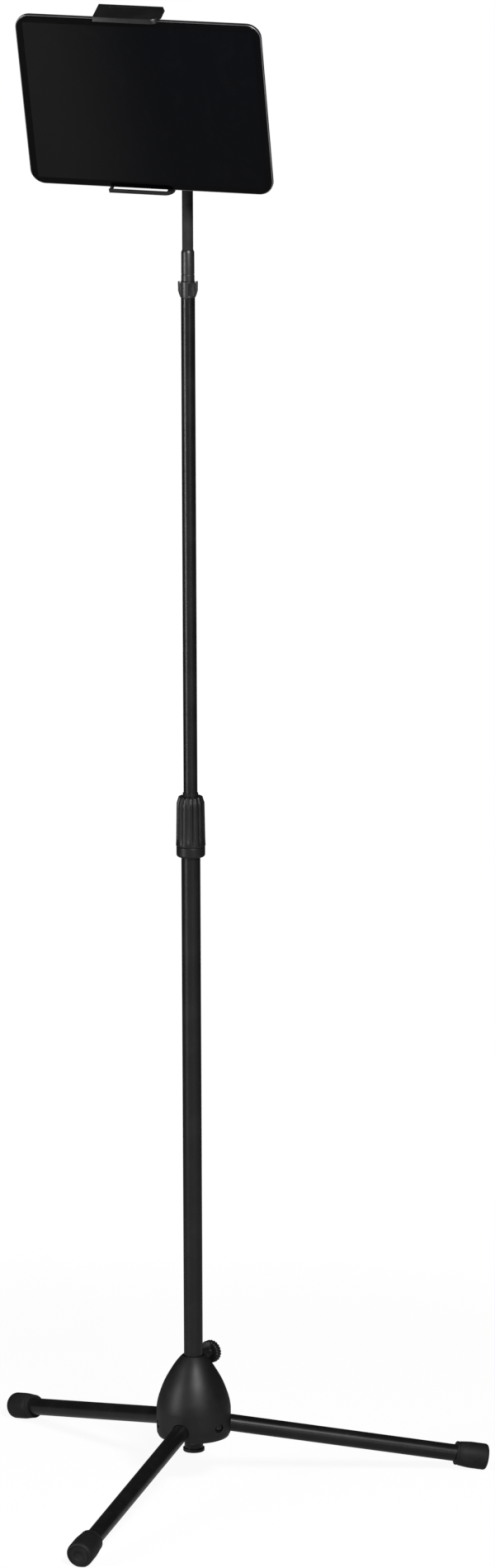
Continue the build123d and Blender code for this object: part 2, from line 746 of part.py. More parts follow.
with BuildPart() as tablet_display:
    with BuildSketch(face_plane(-tablet_t / 2 + 3.9)):
        Rectangle(display_w, display_h)
    extrude(amount=glass_back + tablet_t / 2 - 3.9)
save(tablet_display, "tablet_display")

with BuildPart() as tablet_glass:
    with BuildSketch(face_plane(glass_back)):
        RectangleRounded(tablet_w, tablet_h, tablet_corner)
    extrude(amount=glass_t)
    chamfer(tablet_glass.faces().sort_by(Axis((0, 0, 0), tuple(facing)))[-1].edges(), 0.3)
save(tablet_glass, "tablet_glass")
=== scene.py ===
"""Visual model of a folding floor stand with a flexible neck and a music tablet in a sprung clamp.

Laid out as an add-on: one operator makes each piece, or group of like pieces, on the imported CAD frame.
Sizes in the piece operators are millimetres unless a name says otherwise; meshes are in metres.
"""

from math import cos, pi, radians, sin

import bmesh
import bpy
from bpy.props import FloatProperty, FloatVectorProperty, IntProperty, PointerProperty
from bpy.types import Operator, Panel, PropertyGroup
from mathutils import Matrix, Vector


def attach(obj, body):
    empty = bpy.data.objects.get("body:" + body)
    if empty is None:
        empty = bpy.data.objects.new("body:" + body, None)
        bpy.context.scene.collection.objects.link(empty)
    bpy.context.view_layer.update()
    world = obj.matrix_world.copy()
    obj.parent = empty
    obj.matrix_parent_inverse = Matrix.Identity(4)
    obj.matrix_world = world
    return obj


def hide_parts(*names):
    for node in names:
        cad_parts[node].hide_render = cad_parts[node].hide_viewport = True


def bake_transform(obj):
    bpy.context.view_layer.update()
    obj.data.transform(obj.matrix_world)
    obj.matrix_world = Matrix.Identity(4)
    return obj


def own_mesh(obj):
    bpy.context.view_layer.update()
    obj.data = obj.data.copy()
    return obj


bl_info = {
    "name": "Music stand",
    "version": (1, 0, 0),
    "blender": (4, 5, 0),
    "location": "View3D > Sidebar > Music stand",
    "description": "Makes the visual pieces of a tripod floor stand with a gooseneck and a tablet clamp",
    "category": "Object",
}

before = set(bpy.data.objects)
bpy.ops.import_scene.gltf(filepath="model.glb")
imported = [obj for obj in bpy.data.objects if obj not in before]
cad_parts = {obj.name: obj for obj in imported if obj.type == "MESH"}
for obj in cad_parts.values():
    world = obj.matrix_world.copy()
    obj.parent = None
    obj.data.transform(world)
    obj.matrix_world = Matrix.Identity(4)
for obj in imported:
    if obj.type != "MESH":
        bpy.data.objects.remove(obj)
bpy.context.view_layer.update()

MM = 0.001
SHARP = radians(32)

# ---- directions and places shared by the pieces ------------------------------------------------
LEGS = {"front": -111.5, "right": 8.5, "left": 128.5}
LEG_DROP = 10.6
PIVOT_RHO = 25.0
PIVOT_Z = 74.4
CLAMP_AZIMUTH = 55.0
CLAMP_Z = 150.8
GRIP = -17.0
JAW_LEFT = GRIP - 31.8
JAW_RIGHT = GRIP + 41.9
ROD_OFFSETS = (20.0, -20.0)
ROD_OUT = -11.3
TABLET_W = 280.6
TABLET_H = 214.9
TABLET_CORNER = 17.0
DISPLAY_W = 262.9
DISPLAY_H = 197.0


def head_axes():
    """Width, height and facing directions of the tablet, and its middle in metres."""
    yaw, tilt, roll = radians(-14.5), radians(-23.7), radians(-1.7)
    facing = Vector((sin(yaw) * cos(tilt), -cos(yaw) * cos(tilt), sin(tilt)))
    level = Vector((cos(yaw), sin(yaw), 0))
    width = cos(roll) * level + sin(roll) * facing.cross(level)
    return width, facing.cross(width), facing, Vector((-46, -99, 1625)) * MM


WIDTH, HEIGHT, FACING, MIDDLE = head_axes()


def in_head(width, height, out):
    """A place in the tablet's own directions, in metres."""
    return MIDDLE + MM * (width * WIDTH + height * HEIGHT + out * FACING)


def turned_to(x_dir, y_dir, z_dir, origin):
    """Matrix that carries X, Y and Z to three directions, and the origin to a place in metres."""
    return Matrix.Translation(origin) @ Matrix((x_dir, y_dir, z_dir)).transposed().to_4x4()


FACE = turned_to(WIDTH, HEIGHT, FACING, MIDDLE)
BALL_AXIS = turned_to(WIDTH, HEIGHT, FACING, in_head(GRIP, 0, 0))


def rod_axis(width, height, out):
    """Matrix that stands Z up the tablet at a place in its own directions."""
    return turned_to(WIDTH, -FACING, HEIGHT, in_head(width, height, out))


def leg_axis(azimuth):
    """Matrix whose Z runs out along an opened leg from its pin."""
    a, d = radians(azimuth), radians(LEG_DROP)
    along = Vector((cos(a) * cos(d), sin(a) * cos(d), -sin(d)))
    level = Vector((-sin(a), cos(a), 0))
    pin = Vector((PIVOT_RHO * cos(a), PIVOT_RHO * sin(a), PIVOT_Z)) * MM
    return turned_to(level.cross(along), level, along, pin)


def radial_axis(azimuth, height):
    """Matrix whose Z points out from the column at an azimuth and height."""
    a = radians(azimuth)
    out = Vector((cos(a), sin(a), 0))
    return turned_to(Vector((-sin(a), cos(a), 0)), Vector((0, 0, 1)), out, Vector((0, 0, height * MM)))


# ---- node trees ----------------------------------------------------------------------------------
class Wire:
    """A socket of a node tree. Sums, products and powers of wires add Math nodes to the tree."""

    def __init__(self, graph, socket):
        self.graph = graph
        self.socket = socket

    def maths(self, operation, *values):
        return self.graph.add("ShaderNodeMath", {"operation": operation}, dict(enumerate(values)))

    def __add__(self, other):
        return self.maths("ADD", self, other)

    def __sub__(self, other):
        return self.maths("SUBTRACT", self, other)

    def __mul__(self, other):
        return self.maths("MULTIPLY", self, other)

    def __truediv__(self, other):
        return self.maths("DIVIDE", self, other)

    def __pow__(self, other):
        return self.maths("POWER", self, other)

    def __rsub__(self, other):
        return self.maths("SUBTRACT", other, self)

    __radd__ = __add__
    __rmul__ = __mul__

    def cosine(self):
        return self.maths("COSINE", self)

    def size(self):
        return self.maths("ABSOLUTE", self)

    def between(self, low, high):
        """0 below low and 1 above high, with a smooth rise between them."""
        sockets = {"Value": self, "From Min": low, "From Max": high}
        return self.graph.add("ShaderNodeMapRange", {"interpolation_type": "SMOOTHSTEP"}, sockets)


class Graph:
    """A shader or geometry node tree, filled from expressions on its wires."""

    def __init__(self, tree):
        self.tree = tree

    def add(self, kind, settings=None, sockets=None, out=0):
        """A node of a type, with its settings set first, then its sockets fed; returns one output."""
        node = self.tree.nodes.new(kind)
        for key, value in (settings or {}).items():
            if key == "stops":
                self.set_stops(node.color_ramp, value)
            else:
                setattr(node, key, value)
        for key, value in (sockets or {}).items():
            self.feed(node.inputs[key], value)
        return Wire(self, node.outputs[out])

    def feed(self, socket, value):
        if isinstance(value, Wire):
            self.tree.links.new(value.socket, socket)
        else:
            socket.default_value = value

    def set_stops(self, ramp, stops):
        while len(ramp.elements) < len(stops):
            ramp.elements.new(1.0)
        for element, (place, colour) in zip(ramp.elements, stops):
            element.position = place
            element.color = (*colour, 1.0)

    def vector(self, operation, *values, out=0):
        return self.add("ShaderNodeVectorMath", {"operation": operation}, dict(enumerate(values)), out)

    def mix(self, amount, a, b):
        """Colour a at 0 turning to colour b at 1."""
        settings = {"data_type": "RGBA"}
        node = self.add("ShaderNodeMix", settings, {0: amount})
        self.feed(node.socket.node.inputs[6], a if isinstance(a, Wire) else (*a, 1.0))
        self.feed(node.socket.node.inputs[7], b if isinstance(b, Wire) else (*b, 1.0))
        return Wire(self, node.socket.node.outputs[2])

    def noise(self, place, scale, detail=3.0, roughness=0.5, distortion=0.0):
        """Cloudy values about 0.5 with scale cells to the metre."""
        sockets = {"Vector": place, "Scale": scale, "Detail": detail, "Roughness": roughness}
        return self.add("ShaderNodeTexNoise", {}, {**sockets, "Distortion": distortion})


# ---- surface finishes ----------------------------------------------------------------------------
class Finish(Graph):
    """A new material's graph, its object-space place and its main shader's inputs."""

    def __init__(self, name):
        self.material = bpy.data.materials.new(name)
        self.material.use_nodes = True
        super().__init__(self.material.node_tree)
        self.place = self.add("ShaderNodeTexCoord", out="Object")
        self.shader = self.tree.nodes["Principled BSDF"].inputs

    def dressed(self, tint, gloss, relief, others=None):
        """Feeds the shader's colour, roughness, normal and other sockets, and returns the material."""
        sockets = {"Base Color": tint, "Roughness": gloss, "Normal": relief, **(others or {})}
        for title, value in sockets.items():
            self.feed(self.shader[title], value)
        return self.material


def scaled(colour, gain, lift=0.0):
    """A colour made lighter or darker."""
    return [channel * gain + lift for channel in colour]


def rounded_normal(graph, radius):
    """The surface normal with every corner rounded to a radius in metres."""
    return graph.add("ShaderNodeBevel", {"samples": 4}, {"Radius": radius})


def corner_mask(graph, rounded):
    """0 on open faces, rising to 1 on sharp corners."""
    plain = graph.add("ShaderNodeNewGeometry", out="True Normal")
    return (1.0 - graph.vector("DOT_PRODUCT", rounded, plain, out="Value")).between(0.02, 0.3)


def bumped(graph, height, depth, strength=1.0, normal=None):
    sockets = {"Height": height, "Distance": depth, "Strength": strength}
    if normal is not None:
        sockets["Normal"] = normal
    return graph.add("ShaderNodeBump", {}, sockets)


def painted_finish(name, colour, roughness, stretch=(1, 1, 0.12), level=0.32):
    """Baked enamel on metal: orange peel, streaks along the tube, faint dust and worn corners."""
    graph = Finish(name)
    place = graph.place
    stretched = graph.vector("MULTIPLY", place, stretch)
    rub = graph.noise(stretched, 420, 5, 0.65)
    scuff = graph.noise(stretched, 60, 6, 0.7, 0.6).between(0.56, 0.72)
    dust = graph.noise(place, 28, 5, 0.6)
    peel = graph.noise(place, 1500, 2, 0.5)
    rounded = rounded_normal(graph, 0.0004)
    worn = corner_mask(graph, rounded) * graph.noise(place, 240, 4, 0.6).between(0.42, 0.62)
    paler = scaled(colour, 1.9, 0.004)
    base = graph.mix(dust.between(0.4, 0.75) * 0.5 + scuff * 0.25, colour, paler)
    tint = graph.mix(worn * 0.35, base, (0.16, 0.16, 0.165))
    gloss = roughness + (rub - 0.5) * 0.10 + scuff * 0.07 + dust * 0.04
    relief = bumped(graph, peel + rub * 0.35, 0.000018, 0.8, rounded)
    return graph.dressed(tint, gloss, relief, {"Specular IOR Level": level})


def moulded_finish(name, colour, roughness, grain=2300.0, depth=0.00003, level=0.3, corner=0.0005):
    """Spark-textured moulded plastic: fine grain, flow marks, handling polish on its corners."""
    graph = Finish(name)
    place = graph.place
    rounded = rounded_normal(graph, corner)
    cells = {"Vector": place, "Scale": grain}
    pebbles = graph.add("ShaderNodeTexVoronoi", {"feature": "SMOOTH_F1"}, cells)
    cloud = graph.noise(place, grain * 0.45, 3, 0.55)
    flow = graph.noise(place, 34, 4, 0.55, 0.8)
    polish = corner_mask(graph, rounded) * graph.noise(place, 190, 3, 0.5).between(0.35, 0.6)
    specks = graph.noise(place, 900, 2, 0.6).between(0.66, 0.74)
    paler = scaled(colour, 1.6, 0.003)
    base = graph.mix(flow.between(0.35, 0.75) * 0.6, colour, paler)
    tint = graph.mix(polish * 0.3 + specks * 0.15, base, (0.07, 0.07, 0.072))
    gloss = roughness + (flow - 0.5) * 0.12 + (cloud - 0.5) * 0.08 - polish * 0.12
    relief = bumped(graph, pebbles * 0.7 + cloud * 0.5, depth, 0.7, rounded)
    return graph.dressed(tint, gloss, relief, {"Specular IOR Level": level})


def rubber_finish(name, colour, roughness, level=0.22):
    """Dull moulded rubber: pores, dusty bloom and scuffs."""
    graph = Finish(name)
    place = graph.place
    bloom = graph.noise(place, 46, 6, 0.65, 0.4)
    pores = graph.noise(place, 2600, 2, 0.5)
    scuff = graph.noise(graph.vector("MULTIPLY", place, (1, 1, 0.3)), 260, 5, 0.7).between(0.58, 0.72)
    paler = scaled(colour, 2.2, 0.006)
    tint = graph.mix(bloom.between(0.4, 0.8) * 0.6 + scuff * 0.35, colour, paler)
    gloss = roughness + (bloom - 0.5) * 0.12 + scuff * 0.06
    relief = bumped(graph, pores + scuff * 0.4, 0.00004, 0.6)
    return graph.dressed(tint, gloss, relief, {"Specular IOR Level": level})


def sleeve_finish(name, colour, roughness):
    """Matt shrunk sleeve: drawn-out fine grain along its length and a soft sheen."""
    graph = Finish(name)
    place = graph.place
    drawn = graph.noise(graph.vector("MULTIPLY", place, (1, 1, 0.2)), 1500, 4, 0.6)
    patch = graph.noise(place, 60, 4, 0.6)
    paler = scaled(colour, 1.7, 0.004)
    tint = graph.mix(patch.between(0.35, 0.75) * 0.5 + drawn * 0.2, colour, paler)
    gloss = roughness + (patch - 0.5) * 0.08 + (drawn - 0.5) * 0.08
    relief = bumped(graph, drawn, 0.00003, 0.6)
    sheen = {"Sheen Weight": 0.04, "Sheen Roughness": 0.5}
    return graph.dressed(tint, gloss, relief, {"Specular IOR Level": 0.18, **sheen})


def metal_finish(name, colour, roughness, brush=(1, 1, 12), tarnish=0.25):
    """Bare metal: tool marks round the piece, smudges and a little tarnish."""
    graph = Finish(name)
    place = graph.place
    marks = graph.noise(graph.vector("MULTIPLY", place, brush), 520, 4, 0.6)
    smudge = graph.noise(place, 130, 5, 0.6, 0.5)
    stain = smudge.between(0.5, 0.8) * tarnish
    darker = scaled(colour, 0.45)
    tint = graph.mix(stain + (marks - 0.5) * 0.12, colour, darker)
    gloss = roughness + (marks - 0.5) * 0.16 + smudge * 0.08
    relief = bumped(graph, marks, 0.00002, 0.5)
    return graph.dressed(tint, gloss, relief, {"Metallic": 1.0})


def anodised_finish(name, colour, roughness):
    """Bead-blasted and anodised aluminium, with faint fingerprints."""
    graph = Finish(name)
    place = graph.place
    beads = graph.noise(place, 5200, 2, 0.6)
    prints = graph.noise(place, 42, 5, 0.6, 1.2).between(0.5, 0.75)
    tint = graph.mix(prints * 0.25, colour, scaled(colour, 0.8))
    gloss = roughness + (beads - 0.5) * 0.1 + prints * 0.06
    relief = bumped(graph, beads, 0.000012, 0.6, rounded_normal(graph, 0.0003))
    return graph.dressed(tint, gloss, relief, {"Metallic": 1.0})


def along_tablet(graph, place, axis):
    """Distance from the tablet's middle along one of its own directions, in metres."""
    return graph.vector("DOT_PRODUCT", place, axis, out="Value") - MIDDLE.dot(axis)


def glass_finish(name, looks):
    """Cover glass over a sleeping display: black border, light smudges, and a painted reflection that
    makes the display and its border greyer at the left.
    """
    graph = Finish(name)
    place = graph.place
    across = along_tablet(graph, place, WIDTH)
    up = along_tablet(graph, place, HEIGHT)
    edge = 0.0002
    beyond_side = across.size().between(DISPLAY_W / 2 * MM - edge, DISPLAY_W / 2 * MM + edge)
    beyond_top = up.size().between(DISPLAY_H / 2 * MM - edge, DISPLAY_H / 2 * MM + edge)
    lit = (1.0 - beyond_side) * (1.0 - beyond_top)
    # Painted reflection: the display and its black border are coloured greyer at the left and darker to
    # the right, standing in for a reflection on the glass.
    painted_reflection_sweep = (across + up * 0.12).between(-0.125, 0.03)
    panel = graph.mix(painted_reflection_sweep, tuple(looks.display_left), tuple(looks.display_right))
    smear = graph.noise(graph.vector("MULTIPLY", place, (1, 1, 0.5)), 30, 6, 0.62, 1.5).between(0.5, 0.78)
    border = graph.mix(painted_reflection_sweep, (0.0010, 0.0010, 0.0012), (0.0006, 0.0006, 0.0010))
    under_glass_with_painted_reflection = graph.mix(lit, border, panel)
    tint = graph.mix(smear * 0.02, under_glass_with_painted_reflection, (0.05, 0.05, 0.05))
    gloss = 0.07 + smear * 0.12 + graph.noise(place, 900, 2, 0.5) * 0.02
    relief = bumped(graph, graph.noise(place, 18, 2, 0.4), 0.00002, 0.2)
    return graph.dressed(tint, gloss, relief, {"Specular IOR Level": 0.08})


def panel_finish(name, colour, scale):
    """A display layer or cell pack under the glass: faint grid on a dull film."""
    graph = Finish(name)
    place = graph.place
    across = along_tablet(graph, place, WIDTH) * scale
    up = along_tablet(graph, place, HEIGHT) * scale
    lines = (across.cosine() * 0.5 + 0.5) ** 8.0 + (up.cosine() * 0.5 + 0.5) ** 8.0
    cloud = graph.noise(place, 60, 4, 0.5)
    tint = graph.mix(lines * 0.3, colour, scaled(colour, 0.5))
    gloss = 0.45 + (cloud - 0.5) * 0.2
    relief = bumped(graph, lines + cloud, 0.00003, 0.4)
    return graph.dressed(tint, gloss, relief)


def floor_finish(name, looks):
    """Matt pale studio sheet that glows by itself; the stand is lit only by the part in front of it. The
    glow the camera sees is dimmed round the stand as a painted shadow.
    """
    graph = Finish(name)
    place = graph.place
    fibre = graph.noise(place, 300, 4, 0.6)
    cloud = graph.noise(place, 1.4, 3, 0.5)
    tint = tuple(looks.floor_colour)
    tint = graph.mix(cloud * 0.2, tint, scaled(tint, 0.97))
    gloss = 0.85 + (fibre - 0.5) * 0.1
    relief = bumped(graph, fibre, 0.0001, 0.2)
    seen = graph.add("ShaderNodeLightPath", out="Is Camera Ray")
    # Painted shadow: the glow the camera sees is 0.93 within 0.6 m of the stand, rising to 1.0 beyond 1.6
    # m, standing in for the stand's soft shadow on the floor.
    painted_shadow_fade = graph.vector("LENGTH", place, out="Value").between(0.6, 1.6)
    from_front = graph.vector("DISTANCE", place, (0.0, -4.0, 0.0), out="Value").between(3.0, 5.5)
    bounced = graph.mix(from_front, (looks.floor_bounce,) * 3, (0.03, 0.03, 0.03))
    shown_with_painted_shadow = graph.mix(painted_shadow_fade, (0.93, 0.93, 0.93), (1.0, 1.0, 1.0))
    glow = {"Emission Color": graph.mix(seen, bounced, shown_with_painted_shadow), "Emission Strength": looks.floor_glow}
    return graph.dressed(tint, gloss, relief, {"Specular IOR Level": 0.1, **glow})


FINISHES = {}


def finish(name):
    """The stand's finishes by name, each made once."""
    looks = bpy.context.scene.stand_looks
    plastic = tuple(looks.plastic)
    makers = {
        "black_paint": (painted_finish, tuple(looks.paint), 0.27),
        "hub_plastic": (moulded_finish, plastic, 0.46),
        "clutch_plastic": (moulded_finish, plastic, 0.40, 2600, 0.00002, 0.32),
        "clamp_plastic": (moulded_finish, plastic, 0.50, 2000, 0.00004),
        "jaw_plastic": (moulded_finish, plastic, 0.36, 2400, 0.00002, 0.4),
        "soft_sleeve": (sleeve_finish, tuple(looks.sleeve), 0.72),
        "foot_rubber": (rubber_finish, tuple(looks.rubber), 0.62),
        "pad_rubber": (rubber_finish, (0.02, 0.02, 0.021), 0.75),
        "bush_plastic": (moulded_finish, (0.09, 0.09, 0.088), 0.45, 1600, 0.00002, 0.4),
        "black_steel": (painted_finish, (0.012, 0.012, 0.013), 0.34, (1, 1, 1), 0.5),
        "bright_steel": (metal_finish, (0.62, 0.62, 0.63), 0.26),
        "brass": (metal_finish, (0.72, 0.52, 0.22), 0.34, (1, 1, 8), 0.4),
        "tablet_aluminium": (anodised_finish, tuple(looks.aluminium), 0.34),
        "screen_glass": (glass_finish, looks),
        "display_panel": (panel_finish, (0.02, 0.02, 0.022), 6000.0),
        "battery_pack": (panel_finish, (0.03, 0.03, 0.03), 220.0),
    }
    if name not in FINISHES:
        maker, *values = makers[name]
        FINISHES[name] = maker(name, *values)
    return FINISHES[name]


# ---- mesh making -----------------------------------------------------------------------------------
def new_object(name, mesh):
    """An object for a mesh, in the scene."""
    piece = bpy.data.objects.new(name, mesh)
    bpy.context.scene.collection.objects.link(piece)
    return piece


def from_bmesh(name, shape, place=None):
    """A piece from a closed bmesh, faces turned outwards, carried to its place."""
    bmesh.ops.recalc_face_normals(shape, faces=shape.faces)
    mesh = bpy.data.meshes.new(name)
    shape.to_mesh(mesh)
    shape.free()
    if place is not None:
        mesh.transform(place)
    return new_object(name, mesh)


def applied(piece):
    """Swaps a piece's mesh for what its modifiers make of it, and removes the modifiers."""
    graph = bpy.context.evaluated_depsgraph_get()
    mesh = bpy.data.meshes.new_from_object(piece.evaluated_get(graph))
    piece.modifiers.clear()
    piece.data = mesh
    return piece


def smoothed(piece, angle=SHARP):
    piece.data.shade_smooth()
    piece.data.set_sharp_from_angle(angle=angle)
    return piece


def softened(piece, width, segments=3, angle=SHARP):
    """Rounds a piece's corners by a width in millimetres and shades it."""
    bevel = piece.modifiers.new("corners", "BEVEL")
    bevel.width = width * MM
    bevel.segments = segments
    bevel.limit_method = "ANGLE"
    bevel.angle_limit = angle
    bevel.harden_normals = False
    return smoothed(applied(piece))


def carved(piece, cutters, operation="DIFFERENCE"):
    """Cuts closed pieces out of a piece, or joins them to it, and deletes them."""
    for cutter in cutters:
        cut = piece.modifiers.new("cut", "BOOLEAN")
        cut.operation = operation
        cut.solver = "EXACT"
        cut.object = cutter
    applied(piece)
    for cutter in cutters:
        bpy.data.objects.remove(cutter)
    return piece


def joined(piece, others):
    """Adds other pieces' closed shells to a piece."""
    shape = bmesh.new()
    shape.from_mesh(piece.data)
    for other in others:
        shape.from_mesh(other.data)
        bpy.data.objects.remove(other)
    shape.to_mesh(piece.data)
    shape.free()
    return smoothed(piece)


def polygon_reach(sides, turn):
    """Radius of a polygon of a given half width across its flats, over its half width, at a turn."""
    if not sides:
        return 1.0
    step = 2 * pi / sides
    return 1 / cos((turn % step) - step / 2)


def turned(name, profile, place=None, turns=72):
    """A closed body of revolution about Z from (radius, height, sides) rows.

    Sides makes its row a polygon. Rows that start and end away from the axis are joined into a ring.
    """
    shape = bmesh.new()
    rows = []
    for radius, height, *sides in profile:
        if radius == 0:
            rows.append([shape.verts.new((0, 0, height * MM))])
            continue
        row = []
        for k in range(turns):
            turn = 2 * pi * k / turns
            reach = radius * MM * polygon_reach(sides[0] if sides else 0, turn)
            row.append(shape.verts.new((reach * cos(turn), reach * sin(turn), height * MM)))
        rows.append(row)
    pairs = list(zip(rows, rows[1:]))
    if len(rows[0]) > 1:
        pairs.append((rows[-1], rows[0]))
    for low, high in pairs:
        for k in range(turns):
            after = (k + 1) % turns
            under = (low[k % len(low)], low[after % len(low)])
            over = (high[after % len(high)], high[k % len(high)])
            shape.faces.new(list(dict.fromkeys((*under, *over))))
    return from_bmesh(name, shape, place)


def stacked(name, rings, place=None):
    """A closed body from rings of (x, y, z) points in millimetres, with flat ends."""
    shape = bmesh.new()
    rows = [[shape.verts.new(Vector(point) * MM) for point in ring] for ring in rings]
    for low, high in zip(rows, rows[1:]):
        for k in range(len(low)):
            after = (k + 1) % len(low)
            shape.faces.new((low[k], low[after], high[after], high[k]))
    shape.faces.new(rows[0])
    shape.faces.new(rows[-1])
    return from_bmesh(name, shape, place)


def prism(name, outline, low, high, place=None):
    """A flat-ended body over an outline of (x, y) points, from low to high."""
    return stacked(name, [[(x, y, level) for x, y in outline] for level in (low, high)], place)


def block(name, lows, highs, place=None):
    (a, b, c), (d, e, f) = lows, highs
    return prism(name, [(a, b), (d, b), (d, e), (a, e)], c, f, place)


def rounded_rectangle(wide, high, corner, inset=0.0, steps=8):
    """Points round a rectangle with round corners, drawn in by an inset."""
    reach = corner - inset
    points = []
    for k, (sx, sy) in enumerate(((1, 1), (-1, 1), (-1, -1), (1, -1))):
        for i in range(steps + 1):
            turn = k * pi / 2 + i * pi / 2 / steps
            x = sx * (wide / 2 - corner) + reach * cos(turn)
            y = sy * (high / 2 - corner) + reach * sin(turn)
            points.append((x, y))
    return points


def stood(piece, body, material, slot, *replaced):
    """Gives a finished piece its material and puts it on its body in place of CAD nodes."""
    piece.data.materials.clear()
    piece.data.materials.append(finish(material))
    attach(piece, body)
    if replaced:
        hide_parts(*replaced)
    return piece


# ---- geometry node trees ---------------------------------------------------------------------------
def geometry_tree(name, sizes):
    """A geometry tree with a mesh input, named number inputs and a material input.

    Returns the tree, its graph and the wires of its inputs by name.
    """
    tree = bpy.data.node_groups.new(name, "GeometryNodeTree")
    tree.interface.new_socket("Geometry", in_out="INPUT", socket_type="NodeSocketGeometry")
    for title, kind in sizes.items():
        tree.interface.new_socket(title, in_out="INPUT", socket_type=f"NodeSocket{kind}")
    tree.interface.new_socket("Material", in_out="INPUT", socket_type="NodeSocketMaterial")
    tree.interface.new_socket("Geometry", in_out="OUTPUT", socket_type="NodeSocketGeometry")
    graph = Graph(tree)
    entry = tree.nodes.new("NodeGroupInput")
    wires = {socket.name: Wire(graph, socket) for socket in entry.outputs if socket.name}
    return tree, graph, wires


def close_tree(graph, shape, material):
    """Ends a geometry tree in one plain mesh with its material."""
    whole = graph.add("GeometryNodeRealizeInstances", {}, {"Geometry": shape})
    covered = graph.add("GeometryNodeSetMaterial", {}, {"Geometry": whole, "Material": material})
    leave = graph.tree.nodes.new("NodeGroupOutput")
    graph.feed(leave.inputs["Geometry"], covered)


def tree_mesh(piece, tree, sizes):
    """The plain mesh that a geometry tree makes of a piece, with sizes by input name."""
    modifier = piece.modifiers.new(tree.name, "NODES")
    modifier.node_group = tree
    for socket in tree.interface.items_tree:
        title = socket.name.replace(" ", "_").lower()
        if socket.in_out == "INPUT" and title in sizes:
            modifier[socket.identifier] = sizes[title]
    graph = bpy.context.evaluated_depsgraph_get()
    mesh = bpy.data.meshes.new_from_object(piece.evaluated_get(graph))
    piece.modifiers.clear()
    return mesh


def grown(piece, tree, **sizes):
    """Runs a geometry tree on a piece and keeps the plain mesh it makes."""
    piece.data = tree_mesh(piece, tree, sizes)
    return piece


def fluted(name, profile, flutes, steps, groove, run, wall, material):
    """A turned piece with grooves pressed round it, each as many vertices round as steps.

    Groove is a groove's depth and narrowness, run its two ends and their fade, and wall the radii between
    which it deepens.
    """
    piece = turned(name, profile, turns=flutes * steps)
    titles = ("depth", "narrowness", "low", "high", "fade", "core", "rim")
    sizes = dict(zip(titles, (*groove, *run, *wall)))
    return grown(piece, tree_for(fluted_tree), flutes=flutes, material=finish(material), **sizes)


def fluted_tree():
    """Presses rounded grooves into a turned piece, evenly spaced round its axis."""
    lengths = ("Depth", "Narrowness", "Low", "High", "Fade", "Core", "Rim")
    tree, graph, entry = geometry_tree("flutes", {"Flutes": "Int", **dict.fromkeys(lengths, "Float")})
    position = graph.add("GeometryNodeInputPosition")
    parts = graph.add("ShaderNodeSeparateXYZ", {}, {0: position})
    x, y, z = (Wire(graph, socket) for socket in parts.socket.node.outputs)
    turn = x.maths("ARCTAN2", y, x)
    groove = ((turn * entry["Flutes"]).cosine() * 0.5 + 0.5) ** entry["Narrowness"]
    above = z.between(entry["Low"], entry["Low"] + entry["Fade"])
    below = 1.0 - z.between(entry["High"] - entry["Fade"], entry["High"])
    flat = graph.add("ShaderNodeCombineXYZ", {}, {"X": x, "Y": y})
    reach = graph.vector("LENGTH", flat, out="Value")
    outer = reach.between(entry["Core"], entry["Rim"])
    pull = groove * above * below * outer * entry["Depth"] * -1.0
    inward = graph.vector("SCALE", graph.vector("NORMALIZE", flat))
    graph.feed(inward.socket.node.inputs["Scale"], pull)
    moved = graph.add("GeometryNodeSetPosition", {}, {"Geometry": entry["Geometry"], "Offset": inward})
    close_tree(graph, moved, entry["Material"])
    return tree


def circle_tree():
    """Repeats a piece evenly round the column's axis."""
    tree, graph, entry = geometry_tree("round_the_column", {"Count": "Int", "First Angle": "Float"})
    points = graph.add("GeometryNodePoints", {}, {"Count": entry["Count"]})
    index = graph.add("GeometryNodeInputIndex")
    turn = index * (2 * pi) / entry["Count"] + entry["First Angle"]
    spin = graph.add("ShaderNodeCombineXYZ", {}, {"Z": turn})
    sockets = {"Points": points, "Instance": entry["Geometry"], "Rotation": spin}
    close_tree(graph, graph.add("GeometryNodeInstanceOnPoints", {}, sockets), entry["Material"])
    return tree


def grid_tree():
    """Repeats a piece over a grid in its own XY plane."""
    sizes = {"Wide": "Float", "High": "Float", "Columns": "Int", "Rows": "Int"}
    tree, graph, entry = geometry_tree("on_a_grid", sizes)
    across = {"Size X": entry["Wide"], "Size Y": entry["High"]}
    counts = {"Vertices X": entry["Columns"], "Vertices Y": entry["Rows"]}
    grid = graph.add("GeometryNodeMeshGrid", {}, {**across, **counts})
    sockets = {"Points": grid, "Instance": entry["Geometry"]}
    close_tree(graph, graph.add("GeometryNodeInstanceOnPoints", {}, sockets), entry["Material"])
    return tree


def close_bar(graph, path, outline, scale, material):
    """Ends a geometry tree in a round bar along a curve; outline is its sides and radius."""
    ring = graph.add("GeometryNodeCurvePrimitiveCircle", {}, dict(zip(("Resolution", "Radius"), outline)))
    sockets = {"Curve": path, "Profile Curve": ring, "Scale": scale, "Fill Caps": True}
    close_tree(graph, graph.add("GeometryNodeCurveToMesh", {}, sockets), material)


